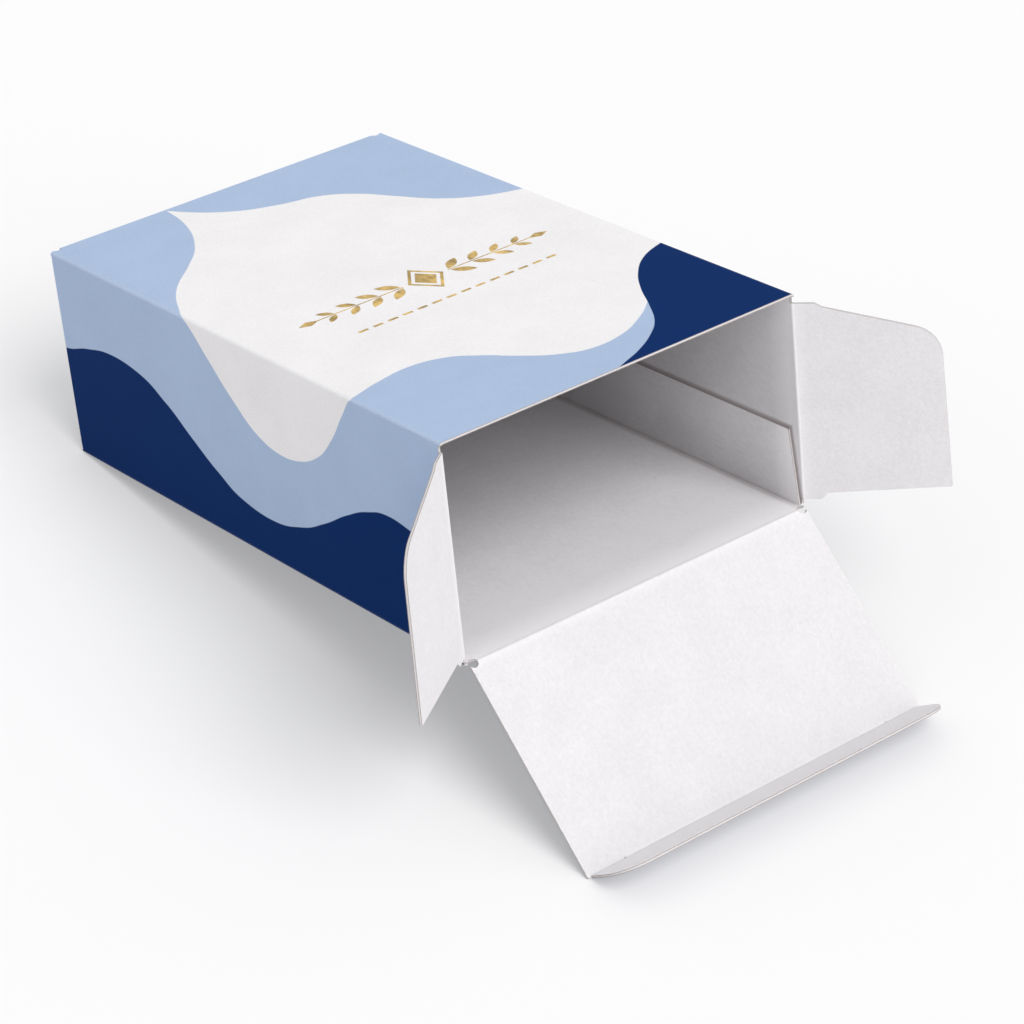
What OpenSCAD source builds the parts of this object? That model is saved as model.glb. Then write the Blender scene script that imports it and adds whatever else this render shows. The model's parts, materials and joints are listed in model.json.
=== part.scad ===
// Reverse tuck end box: a folding carton with one end open.
// The box frame has x across the mouth, y from the mouth to the far end and z from the back panel
// up to the front panel. rest_pose() then tilts it as it lies: the far lower edge and the fold of
// the near tuck flap stand on the surface at z = 0.

/* [Box] */
// Width across the mouth, outside
body_w = 110; // [90:1:150]
// Length from the mouth to the far end, outside
body_l = 172; // [130:1:240]
// Height between the two large panels, outside
body_h = 59.5; // [48:0.5:80]
// Thickness of the board
board = 0.7; // [0.5:0.05:0.9]
// Outer radius of the long folds
fold_r = 0.9; // [0.9:0.05:1.4]
// Width of the glue flap, from the back panel's outer face
glue_w = 21.5; // [12:0.5:30]
// Set-back of the glue flap's ends at its free edge
glue_taper = 2.4; // [0:0.1:6]
// Distance from each end of the box to the glue flap
glue_set_back = 1.2; // [1.1:0.1:4]

/* [Closures and tuck flaps] */
// Gap between a closure's edge and the wall's outer face
closure_inset = 1; // [1:0.1:2.5]
// Length of a tuck flap from its fold
tuck_len = 15; // [11:0.5:15.5]
// Corner radius of a tuck flap
tuck_r = 8; // [3:0.5:9]
// Gap between a tuck flap's edge and the wall's outer face
tuck_inset = 1.9; // [1.9:0.1:4]
// Length of the slit at each end of a tuck flap's fold
slit_len = 12.5; // [5:0.5:16]
// Radius of the relief hole at each end of a closure's crease
relief_r = 1.3; // [0.8:0.1:1.8]
// Distance from the wall's outer face to the relief hole's centre
relief_x = 2.2; // [2:0.1:4]

/* [Dust flaps] */
// Length of a dust flap from its crease
dust_len = 37.7; // [26:0.1:44]
// Corner radius of a dust flap
dust_r = 8.5; // [3:0.5:12]
// Width of the shoulder beside the crease
shoulder_w = 5.4; // [3:0.1:9]
// Height of the step from the shoulder down to the sloped edge
shoulder_h = 1.1; // [0.5:0.1:3]
// Distance from the shoulder's end to the foot of its step
shoulder_run = 1.9; // [1:0.1:4]
// Fall of the sloped edge over the flap's length
slope_fall = 7; // [0:0.5:12]
// How far the free edge leans back at its top
edge_lean = 1.4; // [0:0.1:4]
// Height of the flap's lower edge at the crease
foot_rise = 2.5; // [1.5:0.1:4]
// Width of that lower edge beside the crease
foot_w = 4.6; // [3:0.1:8]
// Height of the step in the lower edge
foot_step = 1.8; // [0.5:0.1:4]
// Rise of the lower edge from that step to the free corner
foot_slope = 1.7; // [0:0.1:4]

/* [Cut corners] */
// Radius of the small corners that the knives leave
corner_r = 0.5; // [0.2:0.1:0.8]
// Radius of the bends in a dust flap's stepped edges
step_r = 1; // [0.3:0.1:1.4]

/* [Rest pose] */
// How far the near closure is open, counted from shut
closure_open = 137.5; // [110:0.5:150]
// How far the left dust flap is open, counted from shut
left_open = 142; // [100:1:170]
// How far the right dust flap is open, counted from shut
right_open = 132; // [100:1:170]
// Angle that the near tuck flap is folded by as it lies
tuck_angle = 75; // [60:0.5:85]
// Angle that a tuck flap is folded by when its closure is shut
tuck_angle_shut = 101; // [100.5:0.5:104]

/* [Clearances] */
// Gap between a flap's half-round root and the edge that it turns beside
crease_gap = 0.2; // [0.1:0.05:0.4]
// Gap between a shut closure and the sheets behind it
closure_gap = 0.2; // [0.1:0.05:0.4]
// Gap between a shut tuck flap and the panel that it slides under
tuck_gap = 0.25; // [0.25:0.05:0.5]
// Drop of a dust flap's shoulder below the box's outer face, which lets the tuck flap pass
shoulder_drop = 2.7; // [2.7:0.1:4]

/* [Hidden] */
$fn = 48;
arc_steps = 8;
sliver = 1;

print_color = "lightsteelblue";
board_color = "whitesmoke";

half = board / 2;
// The closure's hinge axis lies just before the mouth, in the middle of the back panel's sheet
hinge_y = -(closure_gap + half);
hinge_z = half;
// From the closure's hinge axis to the tuck flap's fold axis
closure_len = body_h - board - tuck_gap - half - hinge_z;
// The ears beside the slits end a little past the fold axis, and the tuck flap clears them
ear_reach = board / 4;
ear_clear = norm([ear_reach, half]) + crease_gap;
// A dust flap's crease axis, and the wall's edge behind it
dust_axis = half;
wall_set_back = dust_axis + half + crease_gap;
// Heights along a dust flap's two long edges
shoulder_z = body_h - shoulder_drop;
slope_z = shoulder_z - shoulder_h;
foot_z = foot_rise + foot_step;

// The tilt that sets both the far lower edge and the tuck flap's fold on the surface
closure_dir = 90 + closure_open;
fold_y = hinge_y + closure_len * cos(closure_dir);
fold_z = hinge_z + closure_len * sin(closure_dir);
reach = [body_l - fold_y, -fold_z];
tilt = atan2(reach.y, reach.x) + asin(half / norm(reach));

// Corners of the whole box as it lies, for the origin under its middle
tuck_rise = tuck_angle - (closure_dir - 180) - tilt;
low_x = half + dust_len * cos(left_open) - half * sin(left_open);
high_x = body_w - half - dust_len * cos(right_open) + half * sin(right_open);
low_y = fold_y * cos(tilt) + fold_z * sin(tilt) - tuck_len * cos(tuck_rise) - half * abs(sin(tuck_rise));
high_y = (body_l - hinge_y) * cos(tilt) + (body_h - hinge_z) * sin(tilt) + half;
mid_x = (low_x + high_x) / 2;
mid_y = (low_y + high_y) / 2;

function unit(v) = v / norm(v);

// Points of the arc that rounds corner b of an outline, between its neighbours a and c
function arc_at(a, b, c, r) =
    r == 0 ? [b] :
    let (to_a = unit(a - b),
         to_c = unit(c - b),
         half_angle = acos(to_a * to_c) / 2,
         centre = b + unit(to_a + to_c) * r / sin(half_angle),
         first = b + to_a * r / tan(half_angle) - centre,
         last = b + to_c * r / tan(half_angle) - centre,
         start = atan2(first.y, first.x),
         sweep = (atan2(last.y, last.x) - start + 540) % 360 - 180)
    [for (i = [0 : arc_steps])
        let (turn = start + sweep * i / arc_steps)
        centre + r * [cos(turn), sin(turn)]];

// An outline from corners that are each given as [x, y, radius]
function outline(corners) =
    let (n = len(corners), at = [for (c = corners) [c.x, c.y]])
    [for (i = [0 : n - 1]) each arc_at(at[(i + n - 1) % n], at[i], at[(i + 1) % n], corners[i].z)];

// A sheet of board with the given outline, centred on its own plane
module sheet(corners) {
    translate([0, 0, -half])
        linear_extrude(board)
            polygon(outline(corners));
}

// The half-round root of a flap, along x from one place to the other
module root(from, to) {
    translate([from, 0, 0])
        rotate([0, 90, 0])
            cylinder(r = half, h = to - from);
}

// The bits that are cut from a square corner at the origin to round it
module corner_cut(r) {
    difference() {
        translate([-sliver, -sliver])
            square(r + sliver);
        translate([r, r])
            circle(r);
    }
}

// Cross-section of the sleeve's outside; the right wall ends in a cut edge beside the glue flap's fold
module outer_section() {
    difference() {
        square([body_w, body_h]);
        corner_cut(fold_r);
        translate([0, body_h]) mirror([0, 1]) corner_cut(fold_r);
        translate([body_w, body_h]) mirror([1, 0]) mirror([0, 1]) corner_cut(fold_r);
        translate([body_w - board, 0]) mirror([1, 0]) corner_cut(fold_r);
        translate([body_w - board, -sliver]) square([board + sliver, fold_r + sliver]);
    }
}

module inner_section() {
    inner_r = fold_r - board;
    inner_w = body_w - 2 * board;
    inner_h = body_h - 2 * board;
    translate([board, board])
        difference() {
            square([inner_w, inner_h]);
            corner_cut(inner_r);
            translate([0, inner_h]) mirror([0, 1]) corner_cut(inner_r);
            translate([inner_w, inner_h]) mirror([1, 0]) mirror([0, 1]) corner_cut(inner_r);
        }
}

// The sleeve of four panels, from the mouth to the far end
module sleeve() {
    translate([0, body_l, 0])
        rotate([90, 0, 0])
            linear_extrude(body_l)
                difference() {
                    outer_section();
                    inner_section();
                }
}

// The gap that a side wall leaves for its dust flap's crease at the mouth
module wall_trim(depth) {
    for (side_x = [-sliver, body_w - board])
        translate([side_x, -sliver, fold_r])
            cube([board + sliver, depth + sliver, body_h - 2 * fold_r]);
}

// Relief holes at both ends of a closure's crease, drilled through the sheet at z = 0
module relief_holes() {
    for (hole_x = [relief_x, body_w - relief_x])
        translate([hole_x, 0, -sliver])
            cylinder(r = relief_r, h = board + 2 * sliver);
}

// The flap inside the right wall, glued to it along the whole face
module glue_flap() {
    near = glue_set_back;
    far = body_l - glue_set_back;
    translate([body_w - 1.5 * board, 0, 0])
        rotate([90, 0, 90])
            sheet([[near, half, 0], [far, half, 0],
                   [far - glue_taper, glue_w, corner_r], [near + glue_taper, glue_w, corner_r]]);
}

// Turns the near end's layout into the far end's, where the closure hangs from the front panel
module far_end() {
    translate([0, body_l, body_h])
        rotate([180, 0, 0])
            children();
}

// A flap's own frame: its sheet runs along y from the hinge axis, with the printed side up
module closure_frame(open) {
    translate([0, hinge_y, hinge_z])
        rotate([90 + open, 0, 0])
            children();
}

// The panel that shuts the mouth, with the two ears that its slits leave
module closure_flap() {
    left = closure_inset;
    right = body_w - closure_inset;
    inner_left = slit_len;
    inner_right = body_w - slit_len;
    ear_end = closure_len + ear_reach;
    fold_end = closure_len - half - crease_gap;
    difference() {
        union() {
            root(left, right);
            sheet([[left, 0, 0], [right, 0, 0], [right, ear_end, corner_r], [inner_right, ear_end, 0],
                   [inner_right, fold_end, 0], [inner_left, fold_end, 0],
                   [inner_left, ear_end, 0], [left, ear_end, corner_r]]);
        }
        translate([0, 0, -half]) relief_holes();
    }
}

// The flap that tucks in; its root is joined to the closure between the slits only
module tuck_flap() {
    left = tuck_inset;
    right = body_w - tuck_inset;
    inner_left = slit_len + crease_gap;
    inner_right = body_w - slit_len - crease_gap;
    root(inner_left, inner_right);
    sheet([[left, ear_clear, 0], [inner_left, ear_clear, 0], [inner_left, 0, 0],
           [inner_right, 0, 0], [inner_right, ear_clear, 0], [right, ear_clear, 0],
           [right, tuck_len, tuck_r], [left, tuck_len, tuck_r]]);
}

module tuck_frame(open, fold) {
    closure_frame(open)
        translate([0, closure_len, 0])
            rotate([-fold, 0, 0])
                children();
}

// The left dust flap, hinged at the left wall and opened outwards by the given angle
module dust_flap(open) {
    translate([half, dust_axis, 0])
        rotate([0, 0, -open]) {
            translate([0, 0, foot_rise])
                cylinder(r = half, h = shoulder_z - foot_rise);
            rotate([90, 0, 0])
                sheet([[0, foot_rise, 0], [foot_w, foot_rise, corner_r],
                       [foot_w + shoulder_run, foot_z, step_r],
                       [dust_len, foot_z + foot_slope, corner_r],
                       [dust_len - edge_lean, slope_z - slope_fall, dust_r],
                       [shoulder_w + shoulder_run, slope_z, step_r],
                       [shoulder_w, shoulder_z, corner_r], [0, shoulder_z, 0]]);
        }
}

module on_right_side() {
    translate([body_w, 0, 0])
        mirror([1, 0, 0])
            children();
}

module rest_pose() {
    translate([-mid_x, -mid_y, body_l * sin(tilt)])
        rotate([-tilt, 0, 0])
            children();
}

// Four panels, the glue flap and the far end's two dust flaps, folded from one sheet
module box_body() {
    color(print_color)
        rest_pose() {
            difference() {
                sleeve();
                wall_trim(wall_set_back);
                far_end() wall_trim(dust_axis);
                translate([0, hinge_y, 0]) relief_holes();
                far_end() translate([0, hinge_y, 0]) relief_holes();
            }
            glue_flap();
            far_end() {
                dust_flap(0);
                on_right_side() dust_flap(0);
            }
        }
}

// Hinged to the back panel's near edge
module near_closure() {
    color(board_color)
        rest_pose()
            closure_frame(closure_open) closure_flap();
}

module near_tuck() {
    color(board_color)
        rest_pose()
            tuck_frame(closure_open, tuck_angle) tuck_flap();
}

module near_dust_left() {
    color(board_color)
        rest_pose()
            dust_flap(left_open);
}

module near_dust_right() {
    color(board_color)
        rest_pose()
            on_right_side() dust_flap(right_open);
}

// Hinged to the front panel's far edge, and shut
module far_closure() {
    color(print_color)
        rest_pose()
            far_end() closure_frame(0) closure_flap();
}

module far_tuck() {
    color(board_color)
        rest_pose()
            far_end() tuck_frame(0, tuck_angle_shut) tuck_flap();
}

box_body();
near_closure();
near_tuck();
near_dust_left();
near_dust_right();
far_closure();
far_tuck();
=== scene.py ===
"""Reverse tuck end box: printed board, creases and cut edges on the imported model, and its studio."""

import json
import math

import bmesh
import bpy
from bpy.props import FloatProperty, FloatVectorProperty, PointerProperty
from mathutils import Matrix, Vector

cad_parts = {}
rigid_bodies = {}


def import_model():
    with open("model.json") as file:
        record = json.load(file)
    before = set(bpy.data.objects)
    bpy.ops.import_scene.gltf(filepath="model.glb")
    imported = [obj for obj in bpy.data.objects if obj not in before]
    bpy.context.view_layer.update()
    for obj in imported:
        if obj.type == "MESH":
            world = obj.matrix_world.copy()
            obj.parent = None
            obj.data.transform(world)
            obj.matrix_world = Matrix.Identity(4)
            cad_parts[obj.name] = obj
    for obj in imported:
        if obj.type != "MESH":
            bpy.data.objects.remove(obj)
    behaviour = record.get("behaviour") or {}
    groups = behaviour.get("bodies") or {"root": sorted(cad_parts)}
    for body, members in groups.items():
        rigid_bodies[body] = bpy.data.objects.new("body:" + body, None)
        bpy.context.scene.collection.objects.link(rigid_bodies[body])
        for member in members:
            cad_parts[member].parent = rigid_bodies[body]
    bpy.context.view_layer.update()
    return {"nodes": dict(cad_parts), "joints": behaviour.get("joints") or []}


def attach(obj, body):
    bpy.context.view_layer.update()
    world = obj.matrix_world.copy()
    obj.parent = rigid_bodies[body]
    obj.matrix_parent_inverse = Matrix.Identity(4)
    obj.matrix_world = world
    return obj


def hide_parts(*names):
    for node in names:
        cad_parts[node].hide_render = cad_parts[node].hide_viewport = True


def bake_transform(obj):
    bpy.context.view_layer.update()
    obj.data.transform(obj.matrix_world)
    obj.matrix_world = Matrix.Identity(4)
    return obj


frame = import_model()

bl_info = {
    "name": "Reverse tuck end box",
    "version": (1, 0, 0),
    "blender": (4, 5, 0),
    "location": "View3D > Sidebar > Carton",
    "description": "Dresses a folding carton with printed board, bent creases and cut edges",
    "category": "Add Mesh",
}

JOINTS = {joint["name"]: joint for joint in frame["joints"]}
MM = 0.001

# Each flap: the joint at its crease, what it hangs from, the panel of the blank whose line it
# carries on, which end of the box it is at, and the way its joint turns (1 shuts it, -1 opens it)
FLAPS = {
    "near_closure": ("near_closure_hinge", "carton", "back", "near", 1),
    "near_tuck": ("near_tuck_fold", "near_closure", "back", "near", 1),
    "near_dust_left": ("left_dust_hinge", "carton", "left", "near", 1),
    "near_dust_right": ("right_dust_hinge", "carton", "right", "near", 1),
    "far_closure": ("far_closure_hinge", "carton", "front", "far", -1),
    "far_tuck": ("far_tuck_fold", "far_closure", "front", "far", -1),
}


def measure_box():
    """The box's own frame, with x across the mouth, y to the far end and z up, and its three sizes."""
    up = Vector(JOINTS["left_dust_hinge"]["axis"]).normalized()
    across = Vector((1, 0, 0))
    axes = Matrix((across, up.cross(across), up)).transposed()
    places = [axes.transposed() @ vert.co for vert in frame["nodes"]["box_body"].data.vertices]
    low = Vector([min(place[i] for place in places) for i in range(3)])
    high = Vector([max(place[i] for place in places) for i in range(3)])
    return Matrix.Translation(axes @ low) @ axes.to_4x4(), high - low


BOX, (WIDTH, LENGTH, HEIGHT) = measure_box()
NEAR_CREASE = BOX.inverted() @ Vector(JOINTS["near_closure_hinge"]["pos_m"])
BOARD = 2 * NEAR_CREASE.z
# From a crease's axis to the cut edge of the panel on one side, and of the flap on the other
CREASE = -NEAR_CREASE.y
# From the mouth to the line of the near tuck flap's fold, along the flat blank
TUCK_STEP = Vector(JOINTS["near_tuck_fold"]["pos_m"]) - Vector(JOINTS["near_closure_hinge"]["pos_m"])
TUCK_LINE = CREASE + TUCK_STEP.length
# The blank's sizes in millimetres, which the print and the shading of the board work in
WIDTH_MM = WIDTH / MM
LENGTH_MM = LENGTH / MM
HEIGHT_MM = HEIGHT / MM
TUCK_LINE_MM = TUCK_LINE / MM
# The glue flap: its fold on the blank, its width, its set-back from the ends and their taper, in mm
GLUE_FOLD = (WIDTH + HEIGHT - BOARD) / MM
GLUE_WIDTH = 21.5
GLUE_GAP = 1.2
GLUE_TAPER = 2.4
# The middle of the foil ornament on the blank, in mm
ORNAMENT_PLACE = (55.5, 79)


class Flap:
    """Where a flap lies at rest: x runs along its crease, y away from it and z out of its print."""

    def __init__(self, name):
        self.joint, self.parent, self.panel, self.end, self.turn = FLAPS[name]
        self.node = frame["nodes"][name]
        axis = Vector(JOINTS[self.joint]["axis"]).normalized()
        self.axis_point = Vector(JOINTS[self.joint]["pos_m"])
        places = [vert.co for vert in self.node.data.vertices]
        self.away = sum(places, Vector()) / len(places) - self.axis_point
        self.away -= axis * self.away.dot(axis)
        self.away.normalize()
        self.out = self.away.cross(axis) * self.turn
        self.along = self.away.cross(self.out)
        turned = Matrix((self.along, self.away, self.out)).transposed().to_4x4()
        self.place = Matrix.Translation(self.axis_point) @ turned
        self.towards_panel = self.find_panel()

    def find_panel(self):
        """The direction from the crease to the panel that the flap hangs from."""
        if self.parent == "carton":
            return BOX.to_3x3() @ Vector((0, 1 if self.end == "near" else -1, 0))
        back = Vector(JOINTS[FLAPS[self.parent][0]]["pos_m"]) - self.axis_point
        back -= self.along * back.dot(self.along)
        return back.normalized()

    def print_place(self, along, away):
        """The place on the flat blank of a point at these distances along and away from the crease."""
        spot = BOX.inverted() @ (self.axis_point + self.along * along)
        start = spot.y
        if self.parent != "carton":
            closure = Vector(JOINTS[FLAPS[self.parent][0]]["pos_m"])
            step = closure - self.axis_point
            length = (step - self.along * step.dot(self.along)).length
            start = (BOX.inverted() @ closure).y + (length if self.end == "far" else -length)
        sideways = {
            "front": spot.x,
            "left": spot.z - HEIGHT,
            "right": WIDTH + HEIGHT - spot.z,
            "back": -HEIGHT - spot.x,
        }
        return sideways[self.panel], start + (away if self.end == "far" else -away)

    def read_face(self, face):
        """Finish of one face of the flap, and what its corners read."""
        def corner(spot):
            return self.print_place(spot.x, spot.y), 0.5 - spot.z / BOARD
        if abs(face.normal.z) > 0.5:
            return side_finish(face.normal.z), corner
        return CUT, corner

    def crease_span(self):
        """Where the flap's root starts and ends along the crease."""
        inside = self.place.inverted()
        spots = [inside @ vert.co for vert in self.node.data.vertices]
        # Only the half-round root reaches back past the crease's axis
        root = [spot.x for spot in spots if spot.y < -BOARD / 8]
        return min(root), max(root)


class BoardSettings(bpy.types.PropertyGroup):
    """Colours and small forms of the board."""

    bare: FloatVectorProperty(
        name="Bare side", description="Colour of the unprinted inside",
        subtype="COLOR", size=3, min=0, max=1, default=(0.72, 0.705, 0.72))
    core: FloatVectorProperty(
        name="Core", description="Colour of the pulp in the middle of a cut edge",
        subtype="COLOR", size=3, min=0, max=1, default=(0.66, 0.64, 0.635))
    # The liner colour also paints the shadow in the glue flap's corner and along its edges
    liner_and_shadow: FloatVectorProperty(
        name="Liner", description="Colour of the darker plies that a cut edge shows under both faces",
        subtype="COLOR", size=3, min=0, max=1, default=(0.33, 0.29, 0.29))
    bead: FloatProperty(
        name="Crease bead", description="Height of the bead on the bare side of a crease",
        subtype="DISTANCE", unit="LENGTH", default=0.06 * MM, min=0, max=0.2 * MM)
    relief: FloatProperty(
        name="Relief radius", description="Radius of the relief holes at a closure crease's ends",
        subtype="DISTANCE", unit="LENGTH", default=1.3 * MM, min=0.8 * MM, max=1.8 * MM)


class PrintSettings(bpy.types.PropertyGroup):
    """Inks and foil of the outside."""

    pale_blue: FloatVectorProperty(
        name="Light blue", description="Ink of the broad light waves",
        subtype="COLOR", size=3, min=0, max=1, default=(0.405, 0.512, 0.70))
    navy: FloatVectorProperty(
        name="Navy", description="Ink of the dark waves",
        subtype="COLOR", size=3, min=0, max=1, default=(0.0008, 0.0225, 0.117))
    white: FloatVectorProperty(
        name="White", description="Coated white that is left between the waves",
        subtype="COLOR", size=3, min=0, max=1, default=(0.86, 0.845, 0.855))
    foil: FloatVectorProperty(
        name="Foil", description="Gold foil of the stamped ornament",
        subtype="COLOR", size=3, min=0, max=1, default=(0.36, 0.25, 0.082))


class StudioSettings(bpy.types.PropertyGroup):
    """Camera, lamps and floor."""

    aim: FloatVectorProperty(
        name="Aim", description="Point that the camera looks at",
        subtype="TRANSLATION", unit="LENGTH", size=3, default=(0.00032, -0.01142, 0.02827))
    distance: FloatProperty(
        name="Distance", description="Distance from the camera to that point",
        subtype="DISTANCE", unit="LENGTH", default=0.89046, min=0.1)
    azimuth: FloatProperty(
        name="Azimuth", description="Direction of view, from +Y towards +X",
        subtype="ANGLE", unit="ROTATION", default=math.radians(39.864))
    elevation: FloatProperty(
        name="Elevation", description="How far the camera looks down",
        subtype="ANGLE", unit="ROTATION", default=math.radians(36.117))
    roll: FloatProperty(
        name="Roll", description="Turn of the camera about its line of view",
        subtype="ANGLE", unit="ROTATION", default=math.radians(2.330))
    lens: FloatProperty(
        name="Focal length", description="Focal length on a 36 mm sensor",
        subtype="DISTANCE_CAMERA", unit="CAMERA", default=122.71, min=20)
    sky: FloatProperty(
        name="Sky", description="Strength of the even light from all round", default=0.60, min=0)
    key: FloatProperty(
        name="Key lamp", description="Strength of the soft lamp above and in front",
        subtype="POWER", default=2.0, min=0)
    fill: FloatProperty(
        name="Fill lamp", description="Strength of the weak lamp in front of the mouth",
        subtype="POWER", default=0.38, min=0)
    floor: FloatVectorProperty(
        name="Floor", description="Colour of the floor",
        subtype="COLOR", size=3, min=0, max=1, default=(0.866, 0.859, 0.866))
    glow: FloatProperty(
        name="Floor glow", description="Share of plain white in what the camera sees of the floor",
        subtype="FACTOR", default=0.32, min=0, max=1)


class Number:
    """An output socket. Sums written with it in Python add Math nodes."""

    def __init__(self, tree, socket):
        self.tree = tree
        self.socket = socket

    def of(self, name):
        """Another output of the same node."""
        return Number(self.tree, self.socket.node.outputs[name])

    def sum(self, operation, *values, clamp=False):
        """One Math node over these values, each a socket or a plain number."""
        node = self.tree.nodes.new("ShaderNodeMath")
        node.operation = operation
        node.use_clamp = clamp
        for socket, value in zip(node.inputs, values):
            if isinstance(value, Number):
                self.tree.links.new(value.socket, socket)
            else:
                socket.default_value = value
        return Number(self.tree, node.outputs[0])

    def __add__(self, other):
        return self.sum("ADD", self, other)

    def __radd__(self, other):
        return self.sum("ADD", other, self)

    def __sub__(self, other):
        return self.sum("SUBTRACT", self, other)

    def __rsub__(self, other):
        return self.sum("SUBTRACT", other, self)

    def __mul__(self, other):
        return self.sum("MULTIPLY", self, other)

    def __rmul__(self, other):
        return self.sum("MULTIPLY", other, self)

    def __truediv__(self, other):
        return self.sum("DIVIDE", self, other)

    def __neg__(self):
        return self.sum("MULTIPLY", self, -1)

    def __abs__(self):
        return self.sum("ABSOLUTE", self)

    def __mod__(self, other):
        return self.sum("FLOORED_MODULO", self, other)

    def least(self, other):
        """The smaller of the two."""
        return self.sum("MINIMUM", self, other)

    def most(self, other):
        """The larger of the two."""
        return self.sum("MAXIMUM", self, other)

    def within(self, softness):
        """1 where the value is above zero, and 0 below, with an edge as soft as given."""
        return self.sum("MULTIPLY_ADD", self, 1 / softness, 0.5, clamp=True)


class Finish:
    """Builds the nodes of one material."""

    def __init__(self, name):
        self.material = bpy.data.materials.new(name)
        self.material.use_nodes = True
        self.tree = self.material.node_tree
        self.tree.nodes.clear()

    def node(self, kind, settings=None, sockets=None, output=0):
        """Adds a node: its settings first, and then the values or links of its sockets."""
        node = self.tree.nodes.new(kind)
        for name, value in (settings or {}).items():
            if name == "points":
                curve = node.mapping.curves[0].points
                while len(curve) < len(value):
                    curve.new(0.5, 0.5)
                for point, place in zip(curve, value):
                    point.location = place
                node.mapping.update()
            else:
                setattr(node, name, value)
        for name, value in (sockets or {}).items():
            socket = node.inputs[name]
            if isinstance(value, Number):
                self.tree.links.new(value.socket, socket)
            elif socket.type == "RGBA" and len(value) == 3:
                socket.default_value = (*value, 1)
            else:
                socket.default_value = value
        return Number(self.tree, node.outputs[output])

    def mix(self, share, first, second):
        """A colour between two, by a share from 0 to 1."""
        sockets = {0: share, 6: first, 7: second}
        return self.node("ShaderNodeMix", {"data_type": "RGBA"}, sockets, output=2)

    def noise(self, scale, detail=2.0, roughness=0.5, stretch=(1, 1, 1)):
        """Noise on the piece's own coordinates; scale counts its features in a metre."""
        place = self.node("ShaderNodeTexCoord").of("Object")
        place = self.node("ShaderNodeMapping", None, {"Vector": place, "Scale": stretch})
        sockets = {"Vector": place, "Scale": scale, "Detail": detail, "Roughness": roughness}
        return self.node("ShaderNodeTexNoise", {"noise_dimensions": "3D"}, sockets)

    def curve(self, along, points, low, high):
        """The height of a smooth line through listed points, at the given place along it."""
        first = points[0][0]
        span = points[-1][0] - first
        spots = [((x - first) / span, (y - low) / (high - low)) for x, y in points]
        share = along.sum("MULTIPLY_ADD", along, 1 / span, -first / span, clamp=True)
        height = self.node("ShaderNodeFloatCurve", {"points": spots}, {"Value": share})
        return height * (high - low) + low

    def blank(self):
        """The place on the flat blank in millimetres: across its panels, and along from the mouth."""
        place = self.node("ShaderNodeUVMap", {"uv_map": "Blank"})
        split = self.node("ShaderNodeSeparateXYZ", None, {"Vector": place})
        return split.of("X") / MM, split.of("Y") / MM

    def bump(self, height, depth, strength):
        """A normal that follows fine unevenness of the given depth."""
        sockets = {"Height": height, "Distance": depth, "Strength": strength}
        return self.node("ShaderNodeBump", None, sockets)

    def surface(self, sockets):
        """Ends the material in one Principled surface."""
        return self.end(self.node("ShaderNodeBsdfPrincipled", None, sockets))

    def end(self, shader):
        """Links the shader to the material's output and gives the finished material."""
        output = self.tree.nodes.new("ShaderNodeOutputMaterial")
        self.tree.links.new(shader.socket, output.inputs["Surface"])
        return self.material


def scaled(color, factor):
    """A colour made darker or lighter, and no lighter than white."""
    return tuple(min(part * factor, 1) for part in color)


def bare_board(settings):
    """The unprinted side: dull grey-white with clouded pulp and fine fibres."""
    finish = Finish("Bare board")
    u, v = finish.blank()
    swell = finish.noise(16, detail=1)
    clouds = finish.noise(85, detail=4, roughness=0.6)
    flecks = finish.noise(700, detail=4, roughness=0.75)
    fibres = finish.noise(1500, detail=3, roughness=0.7, stretch=(1, 0.25, 1))
    shade = (0.5 - clouds) * 0.45 + (0.5 - fibres) * 0.8 + (0.5 - flecks) * 0.6 + 0.16
    # Painted shade: darker deep inside than at the mouth, which gets painted light, and darker on the
    # glued side and on the near closure
    deep_inside = (v - 45).within(60)
    behind_mouth = v.within(4)
    shade = shade + deep_inside * 0.5 - behind_mouth * 0.16
    right_wall = (u - WIDTH_MM).within(1)
    glue_flap = (-GLUE_FOLD - u).within(1)
    glued_side = (right_wall * 0.35).most(glue_flap * 0.5)
    closure = (-v).within(2) * (-HEIGHT_MM - u).within(1)
    shade = shade + glued_side * (v - 8).within(14) + closure * 0.2
    share = shade.sum("ADD", shade, 0, clamp=True)
    color = finish.mix(share, settings.bare, scaled(settings.bare, 0.76))
    # Painted highlight: the bare side is paler beside the creases of the near flaps, and most so on the
    # sleeve's side
    mouth_crease = (1.6 - abs(v)).within(2.8)
    sleeve_side = (4.5 - v).within(11) * v.within(0.1)
    tuck_crease = (0.7 - abs(v + TUCK_LINE_MM)).within(1.2)
    painted_crease_light = (mouth_crease * 0.3).most(sleeve_side).most(tuck_crease * 0.35)
    # Painted light makes the near tuck flap paler too
    tuck_flap = (-v - TUCK_LINE_MM - 1).within(1)
    painted_crease_light = painted_crease_light.most(tuck_flap * 0.9)
    color = finish.mix(painted_crease_light, color, scaled(settings.bare, 1.18))
    # The corner where the glue flap is folded off the back panel stays in shadow
    corner = (2.2 - abs(abs(u) - GLUE_FOLD + 0.65)).within(1.4) * (v - 0.6).within(0.8)
    darkness = (v * 0.012 + 0.3).least(0.6)
    color = finish.mix(corner * darkness, color, settings.liner_and_shadow)
    # So does the wall along the glue flap's cut edges, which stand proud of it: a painted shadow line
    middle = LENGTH_MM / 2
    end = middle - GLUE_GAP - GLUE_TAPER * (GLUE_FOLD - u) / GLUE_WIDTH
    outside = (GLUE_FOLD - GLUE_WIDTH - u).most(abs(v - middle) - end)
    edge_shadow = (0.85 - outside).within(0.9) * right_wall * v.within(0.3)
    color = finish.mix(edge_shadow * 0.85, color, settings.liner_and_shadow)
    height = fibres * 0.07 + flecks * 0.12 + clouds * 0.08 + swell * 0.9
    normal = finish.bump(height, MM, 0.6)
    return finish.surface({
        "Base Color": color, "Roughness": 0.85, "Specular IOR Level": 0.25, "Normal": normal})


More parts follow.
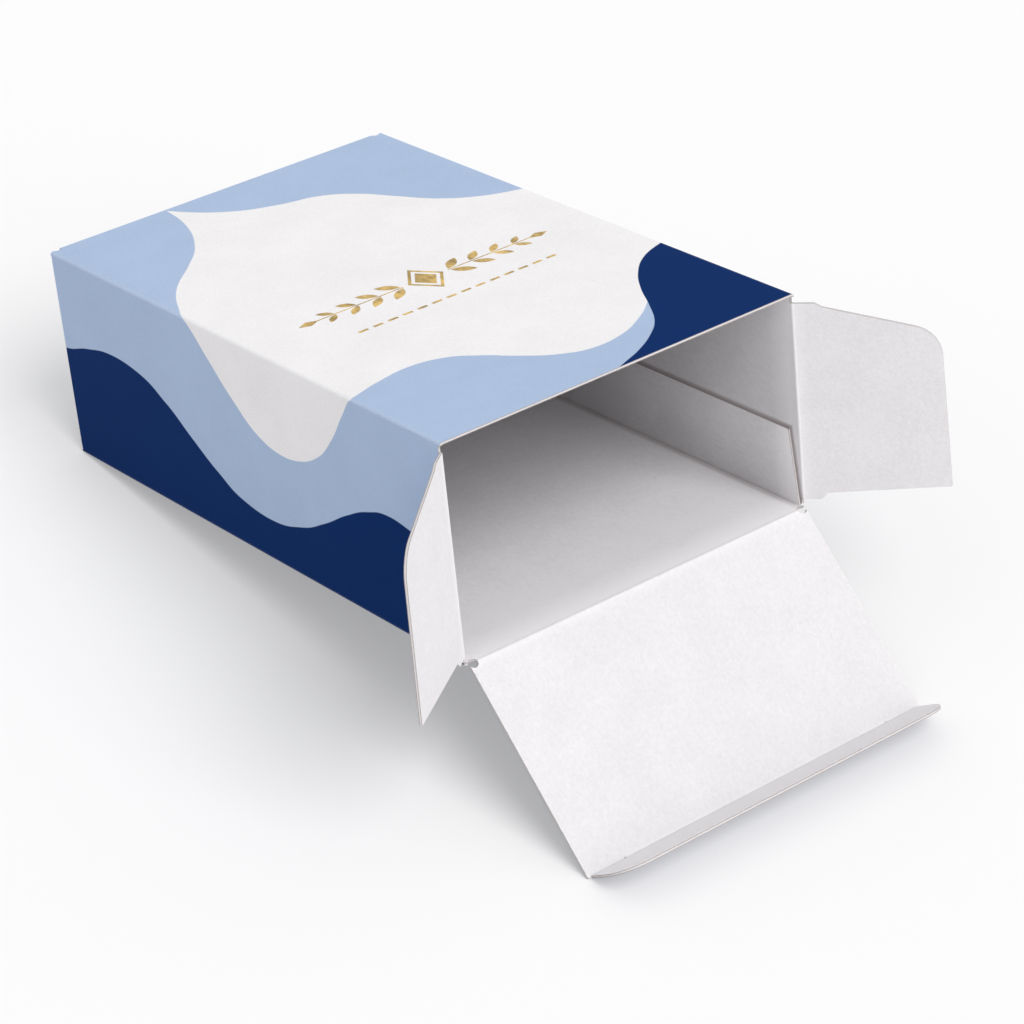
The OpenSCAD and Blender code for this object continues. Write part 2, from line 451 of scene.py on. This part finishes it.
def cut_edge(settings):
    """A cut edge: pale pulp between the two darker plies under the faces."""
    finish = Finish("Cut edge")
    depth = finish.node("ShaderNodeAttribute", {"attribute_name": "Board depth"}).of("Fac")
    ragged = finish.noise(2600, detail=3)
    ply = (abs(depth - 0.5) + (ragged - 0.5) * 0.12 - 0.27).within(0.16)
    blotches = finish.noise(420, detail=2)
    core = finish.mix(blotches, settings.core, scaled(settings.core, 0.8))
    color = finish.mix(ply, core, settings.liner_and_shadow)
    normal = finish.bump(ragged, 0.08 * MM, 0.7)
    return finish.surface({
        "Base Color": color, "Roughness": 0.9, "Specular IOR Level": 0.2, "Normal": normal})


def printed_board(inks):
    """The outside: waves of light blue, navy and white under a matt varnish, and a foil ornament."""
    finish = Finish("Printed board")
    u, v = finish.blank()
    # The edges of the waves on the blank, in mm: near and far ones run across it, the others along it
    white_far = finish.curve(u, [
        (36, 173), (48, 157), (60, 150.3), (70, 147), (77.5, 140.6), (84, 130), (90, 120),
        (98.6, 112.1), (110, 106.8), (119, 104), (128, 97), (135, 86), (141, 73), (150, 64), (170, 60)],
        50, 180)
    white_left = finish.curve(v, [
        (30, 3), (35, 0.2), (39.3, -5.2), (46, -14.6), (53, -21.4), (61.8, -25.4), (70, -26.3),
        (78.5, -24.4), (89, -17.4), (99, -8.3), (106.7, -1.2), (112, 1.8), (118.8, 5.3), (125.7, 10.3),
        (134.7, 19.7), (144, 27.8), (159, 34.7), (172, 36.8)], -40, 40)
    white_near = finish.curve(u, [
        (-30, 33), (0.2, 35.4), (9.2, 37.8), (20.4, 39.2), (28.4, 37.2), (36, 31), (42.3, 23.3),
        (49.4, 16.6), (56.8, 13.3), (65.6, 13.8), (75.2, 18.1), (83, 24)], 0, 60)
    navy_near = finish.curve(u, [
        (0, -75), (30, -14), (48, -2.6), (56, 0.8), (63, 3.7), (71, 8.6), (76.7, 13.8), (82.1, 22.2),
        (87.1, 31.3), (93.1, 39.6), (100.7, 46.3), (110, 50), (122, 52.5), (134, 60), (144, 76),
        (151, 100), (157, 128), (164, 152), (170, 164)], -80, 180)
    navy_left = finish.curve(v, [
        (-40, -36), (-10, -33), (16.3, -28.6), (25, -27.7), (33.5, -29.6), (42.6, -33.6), (53.9, -40),
        (65.1, -44.9), (77.7, -47.4), (89.6, -46.3), (100.9, -41.8), (112, -35.4), (123.1, -28.6),
        (136.3, -23.6), (147.7, -22.7), (160, -24.7), (172, -27.9), (240, -34)], -60, 0)
    navy_far = finish.curve(u, [
        (0, 200.5), (14, 202), (30, 208), (46, 216), (62, 219.5), (78, 217), (94, 219), (110, 227)],
        190, 240)
    ribbon = finish.curve(v, [
        (-76, -112), (-50, -124), (-22, -122), (8, -108), (40, -99), (76, -106), (112, -124),
        (144, -129), (172, -118)], -150, -80)
    # How soft the edge of an ink is, in mm
    edge = 0.22
    white = (u - white_left).within(edge) * (v - white_near).within(edge) * (white_far - v).within(edge)
    navy = (navy_near - v).within(edge).most((navy_left - u).within(edge))
    navy = navy.most((v - navy_far).within(edge) * u.within(edge))
    # A light ribbon winds through the navy of the back panel and runs out at the mouth
    ribbon_half = (v * 0.25 + 1).least(9)
    navy = navy - navy * (ribbon_half - abs(u - ribbon)).within(edge)
    color = finish.mix(white, inks.pale_blue, inks.white)
    color = finish.mix(navy, color, inks.navy)
    foil = ornament(u - ORNAMENT_PLACE[0], v - ORNAMENT_PLACE[1])
    clouds = finish.noise(60, detail=4, roughness=0.6)
    grain = finish.noise(2200, detail=3, roughness=0.7)
    tone = finish.node("ShaderNodeHueSaturation", None, {
        "Color": color, "Value": 1 + (clouds - 0.5) * 0.12 + (grain - 0.5) * 0.3})
    # The varnish cracks a little on the long folds, where the white of the board shows; the same
    # lighter line is also a painted highlight along the folds
    fold = abs(u).least(abs(u - WIDTH_MM)).least(abs(u + HEIGHT_MM))
    fold = fold.least(abs(u - (WIDTH_MM + HEIGHT_MM)))
    wear_and_painted_highlight = (0.5 - fold + (grain - 0.5) * 1.8).within(1.1) * 0.16
    wear_and_highlight_white = (0.80, 0.82, 0.86)
    tone = finish.mix(wear_and_painted_highlight, tone, wear_and_highlight_white)
    # Painted sheen: brighter streaks in the foil's colour
    sheen_streaks = finish.noise(330, detail=3, roughness=0.6, stretch=(1, 0.4, 1))
    gold = finish.mix((sheen_streaks - 0.5).within(0.25), inks.foil, scaled(inks.foil, 2.1))
    color = finish.mix(foil, tone, gold)
    swell = finish.noise(16, detail=1)
    height = grain * 0.03 + clouds * 0.03 + foil * 0.03 + swell * 0.8
    return finish.surface({
        "Base Color": color,
        "Metallic": foil * 0.9,
        "Roughness": 0.55 - foil * 0.12 + (grain - 0.5) * 0.1,
        "Specular IOR Level": 0.02,
        "Normal": finish.bump(height, MM, 0.6)})


def ornament(x, y):
    """A stamped ornament: a lozenge between two leafy sprigs, over a line of dashes."""
    aside = abs(x)
    up = abs(y)
    lozenge_half, lozenge_height = 5.6, 8
    lozenge = 1 - aside / lozenge_half - up / lozenge_height
    hollow = (lozenge - 0.19).within(0.04)
    heart = (lozenge - 0.4).within(0.05)
    mask = lozenge.within(0.04) - hollow + heart
    # Leaves in pairs along a stem, each smaller than the one before
    sprig_start, leaf_step, leaves_end = 7.2, 6.7, 26.7
    out = aside - sprig_start
    size = 1 - (out - out % leaf_step) * 0.015
    spot_x = (out % leaf_step - 3.1) / size
    spot_y = up / size - 2.75
    lean = math.radians(40)
    lengthwise = spot_x * math.cos(lean) + spot_y * math.sin(lean)
    crosswise = spot_y * math.cos(lean) - spot_x * math.sin(lean)
    leaf_half_width = 1.4
    leaf = (leaf_half_width * (1 - lengthwise * lengthwise / 12) - abs(crosswise)).within(0.12)
    stem_end, stem_half_width = 29, 0.24
    stem = (stem_half_width - up).within(0.1) * (stem_end - out).within(0.2)
    bud_middle, bud_half_length, bud_half_width = 29.5, 3.1, 1.5
    bud = (1 - abs(out - bud_middle) / bud_half_length - up / bud_half_width).within(0.08)
    leaves = leaf * (leaves_end - out).within(0.1)
    mask = mask.most(leaves.most(stem).most(bud) * out.within(0.1))
    row_drop, row_half = 14, 32.2
    dash_step, dash_half_length, dash_half_width = 4.6, 1.5, 0.5
    dash = (dash_half_width - abs(y + row_drop)).within(0.1)
    dash = dash * (dash_half_length - abs(x % dash_step - dash_step / 2)).within(0.1)
    dash = dash * (row_half - aside).within(0.1)
    return mask.most(dash)


def finishes():
    """The three finishes of the board, made once: printed outside, bare inside and cut edge."""
    names = ("Printed board", "Bare board", "Cut edge")
    if not all(name in bpy.data.materials for name in names):
        scene = bpy.context.scene
        printed_board(scene.carton_print)
        bare_board(scene.carton_board)
        cut_edge(scene.carton_board)
    return [bpy.data.materials[name] for name in names]


PRINTED, BARE, CUT = range(3)
# Faces that meet at a larger angle than this show a sharp edge between them
SHARP_CORNER = math.radians(32)


def side_finish(facing):
    """Printed where a face looks out of the blank's printed side, and bare where it looks back."""
    return PRINTED if facing > 0 else BARE


def copy_of(node):
    """A bmesh of a CAD node, with its loose triangles joined into whole faces."""
    mesh = bmesh.new()
    mesh.from_mesh(node.data)
    bmesh.ops.remove_doubles(mesh, verts=mesh.verts, dist=0.001 * MM)
    bmesh.ops.dissolve_limit(mesh, angle_limit=math.radians(1), verts=mesh.verts, edges=mesh.edges)
    mesh.normal_update()
    return mesh


def mark_faces(mesh, read_face):
    """Gives each face its finish, its place on the blank and how deep in the board its corners lie."""
    blank = mesh.loops.layers.uv.new("Blank")
    depths = mesh.loops.layers.float.new("Board depth")
    for face in mesh.faces:
        finish, read_corner = read_face(face)
        face.material_index = finish
        face.smooth = True
        for loop in face.loops:
            (u, v), depth = read_corner(loop.vert.co)
            loop[blank].uv = (u, v)
            loop[depths] = min(max(depth, 0), 1)


def make_piece(name, mesh, place):
    """A finished object from a bmesh that was worked on in its own frame."""
    mesh.transform(place)
    data = bpy.data.meshes.new(name)
    mesh.to_mesh(data)
    mesh.free()
    data.set_sharp_from_angle(angle=SHARP_CORNER)
    piece = bpy.data.objects.new(name, data)
    bpy.context.scene.collection.objects.link(piece)
    for material in finishes():
        data.materials.append(material)
    return piece


# The way out of the print on each panel of the sleeve, in the box's frame
PANEL_NORMALS = {
    "front": Vector((0, 0, 1)),
    "back": Vector((0, 0, -1)),
    "left": Vector((-1, 0, 0)),
    "right": Vector((1, 0, 0)),
}


def panel_depths(spot):
    """How many boards deep a place in the box's frame lies under each panel's outer face."""
    return {
        "front": (HEIGHT - spot.z) / BOARD,
        "back": spot.z / BOARD,
        "left": spot.x / BOARD,
        "right": (WIDTH - spot.x) / BOARD,
    }


def blank_place(panel, spot):
    """The place on the flat blank of a point on one of the sleeve's panels."""
    # The cut edges at the mouth are mitred where two panels meet
    sideways = {
        "front": spot.x + (spot.z - HEIGHT) * (1 if spot.x < WIDTH / 2 else -1),
        "left": spot.z - HEIGHT + spot.x * (1 if spot.z > HEIGHT / 2 else -1),
        "right": spot.x + HEIGHT - spot.z,
        "back": spot.z - HEIGHT - spot.x,
        "glue": -WIDTH - HEIGHT - spot.z,
    }
    return sideways[panel], spot.y


def read_sleeve_face(face):
    """Finish of one face of the sleeve, and what its corners read."""
    middle = face.calc_center_median()
    depths = panel_depths(middle)
    panel = min(depths, key=depths.get)
    depth = depths[panel]
    glued = depth > 1 and panel == "right"
    facing = face.normal.dot(PANEL_NORMALS[panel])
    # A little more than one board, so that faces one board deep still count as the panel's own
    just_over = 1.02
    at_far_end = middle.y > LENGTH - BOARD * just_over
    round_fold = at_far_end and panel in ("left", "right") and 0.001 < abs(facing) < 0.999
    if at_far_end and (depth > just_over or round_fold):
        # The far dust flaps are folded in across the box
        def folded_corner(spot):
            if spot.x < WIDTH / 2:
                u, inwards = spot.z - HEIGHT, spot.x
            else:
                u, inwards = WIDTH + HEIGHT - spot.z, WIDTH - spot.x
            return (u, spot.y + inwards), (LENGTH - spot.y) / BOARD
        if round_fold:
            return side_finish(facing), folded_corner
        if abs(face.normal.y) > 0.9:
            return side_finish(face.normal.y), folded_corner
        return CUT, folded_corner
    if abs(facing) > 0.5:
        def panel_corner(spot):
            return blank_place("glue" if glued else panel, spot), depth
        return side_finish(facing), panel_corner
    # The glue flap's long cut edge is seen end on as one dark line, all in liner colour, which is
    # partly painted shadow
    dark = glued and face.normal.z > 0.5

    def edge_corner(spot):
        return blank_place(panel, spot), 1 if dark else panel_depths(spot)[panel] - glued
    return CUT, edge_corner


def add_sleeve():
    """The four panels, the glue flap and the far dust flaps, which are folded from one sheet."""
    mesh = copy_of(frame["nodes"]["box_body"])
    mesh.transform(BOX.inverted())
    mesh.normal_update()
    mark_faces(mesh, read_sleeve_face)
    piece = make_piece("carton_sleeve", mesh, BOX)
    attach(piece, "carton")
    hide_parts("box_body")
    return piece


def add_flap(name):
    """One flap's panel, cut off where its crease begins."""
    flap = Flap(name)
    mesh = copy_of(flap.node)
    mesh.transform(flap.place.inverted())
    everything = mesh.verts[:] + mesh.edges[:] + mesh.faces[:]
    cut = bmesh.ops.bisect_plane(
        mesh, geom=everything, dist=0.0001 * MM, plane_co=(0, CREASE, 0), plane_no=(0, -1, 0),
        clear_outer=True)
    rim = [part for part in cut["geom_cut"] if isinstance(part, bmesh.types.BMEdge)]
    bmesh.ops.holes_fill(mesh, edges=rim)
    mesh.normal_update()
    mark_faces(mesh, flap.read_face)
    piece = make_piece(name + "_panel", mesh, flap.place)
    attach(piece, name)
    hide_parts(name)
    return piece


def add_crease(name):
    """The strip of board between a panel and its flap, bent round the crease as the flap lies at rest.
    """
    flap = Flap(name)
    board = bpy.context.scene.carton_board
    start, end = flap.crease_span()
    mesh = bmesh.new()
    bmesh.ops.create_cube(mesh, size=1)
    bmesh.ops.scale(mesh, vec=(end - start, 2 * CREASE, BOARD), verts=mesh.verts)
    bmesh.ops.translate(mesh, vec=((start + end) / 2, 0, 0), verts=mesh.verts)
    across = [edge for edge in mesh.edges if abs((edge.verts[0].co - edge.verts[1].co).y) > CREASE]
    bmesh.ops.subdivide_edges(mesh, edges=across, cuts=15, use_grid_fill=True)
    mesh.normal_update()
    if flap.parent == "carton" and "closure" in name:
        # The ends follow the round relief holes
        for vert in mesh.verts:
            drawn_in = board.relief - math.sqrt(board.relief**2 - vert.co.y**2)
            vert.co.x += -drawn_in if vert.co.x < (start + end) / 2 else drawn_in
    mark_faces(mesh, flap.read_face)
    bend(mesh, flap, board.bead)
    piece = make_piece(name + "_crease", mesh, Matrix.Identity(4))
    soft = 0.9 * CREASE
    flap.axis_point + flap.towards_panel * soft
    flap.axis_point + flap.away * soft
    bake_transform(piece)
    return piece


def bend(mesh, flap, bead):
    """Bends a flat strip round its crease, from the panel's plane to the flap's, and adds its bead."""
    travel = -flap.towards_panel
    angle = math.atan2(travel.cross(flap.away).dot(flap.along), travel.dot(flap.away))
    # The bend is an arc. It starts and ends this far from the crease's axis
    tangent = 0.75 * CREASE
    radius = tangent / math.tan(angle / 2)
    out = flap.along.cross(travel)
    start = flap.towards_panel * tangent
    centre = start + out * radius
    for vert in mesh.verts:
        along, away, height = vert.co
        if height < 0:
            # The bead, on the bare side, is highest over the crease's axis
            height -= bead * (0.5 + 0.5 * math.cos(math.pi * away / CREASE))
        if abs(away) <= tangent:
            # In a sharp fold the inside is crushed, and never passes the centre of the bend
            limit = 0.9 * radius
            height = min(height, limit) if radius > 0 else max(height, limit)
        share = min(max((away + tangent) / (2 * tangent), 0), 1)
        turned = Matrix.Rotation(angle * share, 3, flap.along)
        if away < -tangent:
            line = flap.towards_panel * -away
        elif away > tangent:
            line = flap.away * away
        else:
            line = centre + turned @ (start - centre)
        vert.co = flap.axis_point + flap.along * along + line + turned @ out * height


def seen_directly(ray):
    """1 for light rays that reach the eye straight, by a reflection or through glass, and else 0."""
    return ray.of("Is Camera Ray").most(ray.of("Is Glossy Ray")).most(ray.of("Is Transmission Ray"))


def add_floor(settings):
    """A wide plain floor that keeps the box's shadow."""
    mesh = bmesh.new()
    bmesh.ops.create_grid(mesh, x_segments=4, y_segments=4, size=6)
    data = bpy.data.meshes.new("floor")
    mesh.to_mesh(data)
    mesh.free()
    floor = bpy.data.objects.new("floor", data)
    bpy.context.scene.collection.objects.link(floor)
    finish = Finish("Floor")
    clouds = finish.noise(3)
    color = finish.mix(clouds, settings.floor, scaled(settings.floor, 0.985))
    paper = finish.node("ShaderNodeBsdfDiffuse", None, {"Color": color})
    white = finish.node("ShaderNodeEmission", None, {"Color": (1, 1, 1), "Strength": 1})
    seen = seen_directly(finish.node("ShaderNodeLightPath"))
    mixed = finish.node("ShaderNodeMixShader", None, {0: seen * settings.glow, 1: paper, 2: white})
    data.materials.append(finish.end(mixed))


def add_sky(settings):
    """Even light from all round, with plain white behind the object."""
    world = bpy.data.worlds.new("Studio")
    bpy.context.scene.world = world
    world.use_nodes = True
    tree = world.node_tree
    tree.nodes.clear()
    ray = tree.nodes.new("ShaderNodeLightPath")
    seen = seen_directly(Number(tree, ray.outputs[0]))
    back = tree.nodes.new("ShaderNodeBackground")
    back.inputs["Color"].default_value = (1, 1, 1, 1)
    strength = seen * (1 - settings.sky) + settings.sky
    tree.links.new(strength.socket, back.inputs["Strength"])
    end = tree.nodes.new("ShaderNodeOutputWorld")
    tree.links.new(back.outputs[0], end.inputs["Surface"])


def add_lamps(settings):
    """A soft lamp above and in front, which leaves the side walls darker, and a weak one in front."""
    softness = math.radians(40)
    lamps = (
        ("key", settings.key, Vector((-0.02, 0.78, -1))),
        ("fill", settings.fill, Vector((-0.1, 0.9, -0.32))))
    for name, strength, way in lamps:
        lamp = bpy.data.lights.new(name, "SUN")
        lamp.energy = strength
        lamp.angle = softness
        lamp_object = bpy.data.objects.new(name, lamp)
        lamp_object.rotation_euler = way.to_track_quat("-Z", "Y").to_euler()
        bpy.context.scene.collection.objects.link(lamp_object)


def add_camera(settings):
    """The camera at the photograph's angle."""
    level = math.cos(settings.elevation)
    view = Vector((
        math.sin(settings.azimuth) * level,
        math.cos(settings.azimuth) * level,
        -math.sin(settings.elevation)))
    turned = view.to_track_quat("-Z", "Y").to_matrix() @ Matrix.Rotation(settings.roll, 3, "Z")
    lens = bpy.data.cameras.new("camera")
    lens.lens = settings.lens
    lens.sensor_width = 36
    lens.clip_start = 0.01
    camera = bpy.data.objects.new("camera", lens)
    place = Vector(settings.aim) - view * settings.distance
    camera.matrix_world = Matrix.Translation(place) @ turned.to_4x4()
    bpy.context.scene.collection.objects.link(camera)
    bpy.context.scene.camera = camera


class CARTON_OT_sleeve(bpy.types.Operator):
    """Add the sleeve with its glue flap and far dust flaps"""

    bl_idname = "carton.sleeve"
    bl_label = "Sleeve"

    def execute(self, context):
        add_sleeve()
        return {"FINISHED"}


class CARTON_OT_flaps(bpy.types.Operator):
    """Add the closures, tuck flaps and near dust flaps"""

    bl_idname = "carton.flaps"
    bl_label = "Flaps"

    def execute(self, context):
        for name in FLAPS:
            add_flap(name)
        return {"FINISHED"}


class CARTON_OT_creases(bpy.types.Operator):
    """Add the creases, bent as the flaps lie at rest"""

    bl_idname = "carton.creases"
    bl_label = "Creases"

    def execute(self, context):
        for name in FLAPS:
            add_crease(name)
        return {"FINISHED"}


class CARTON_OT_studio(bpy.types.Operator):
    """Add the floor, the lights and the camera"""

    bl_idname = "carton.studio"
    bl_label = "Studio"

    def execute(self, context):
        settings = context.scene.carton_studio
        add_floor(settings)
        add_sky(settings)
        add_lamps(settings)
        add_camera(settings)
        context.scene.view_settings.view_transform = "Standard"
        return {"FINISHED"}


OPERATORS = (CARTON_OT_sleeve, CARTON_OT_flaps, CARTON_OT_creases, CARTON_OT_studio)


class CARTON_PT_panel(bpy.types.Panel):
    """Sizes, colours and pieces of the carton"""

    bl_idname = "CARTON_PT_panel"
    bl_label = "Carton"
    bl_space_type = "VIEW_3D"
    bl_region_type = "UI"
    bl_category = "Carton"

    def draw(self, context):
        scene = context.scene
        for settings in (scene.carton_board, scene.carton_print, scene.carton_studio):
            box = self.layout.box()
            for name in settings.__annotations__:
                box.prop(settings, name)
        for operator in OPERATORS:
            self.layout.operator(operator.bl_idname)


CLASSES = (BoardSettings, PrintSettings, StudioSettings, *OPERATORS, CARTON_PT_panel)


def register():
    """Adds the classes and the settings to Blender."""
    for item in CLASSES:
        bpy.utils.register_class(item)
    bpy.types.Scene.carton_board = PointerProperty(type=BoardSettings)
    bpy.types.Scene.carton_print = PointerProperty(type=PrintSettings)
    bpy.types.Scene.carton_studio = PointerProperty(type=StudioSettings)


def unregister():
    """Takes the settings and classes out of Blender again."""
    del bpy.types.Scene.carton_studio
    del bpy.types.Scene.carton_print
    del bpy.types.Scene.carton_board
    for item in reversed(CLASSES):
        bpy.utils.unregister_class(item)


def main():
    """Builds the studio and the carton."""
    register()
    bpy.ops.carton.studio()
    bpy.ops.carton.sleeve()
    bpy.ops.carton.flaps()
    bpy.ops.carton.creases()
    bpy.context.view_layer.update()


if __name__ == "__main__":
    main()
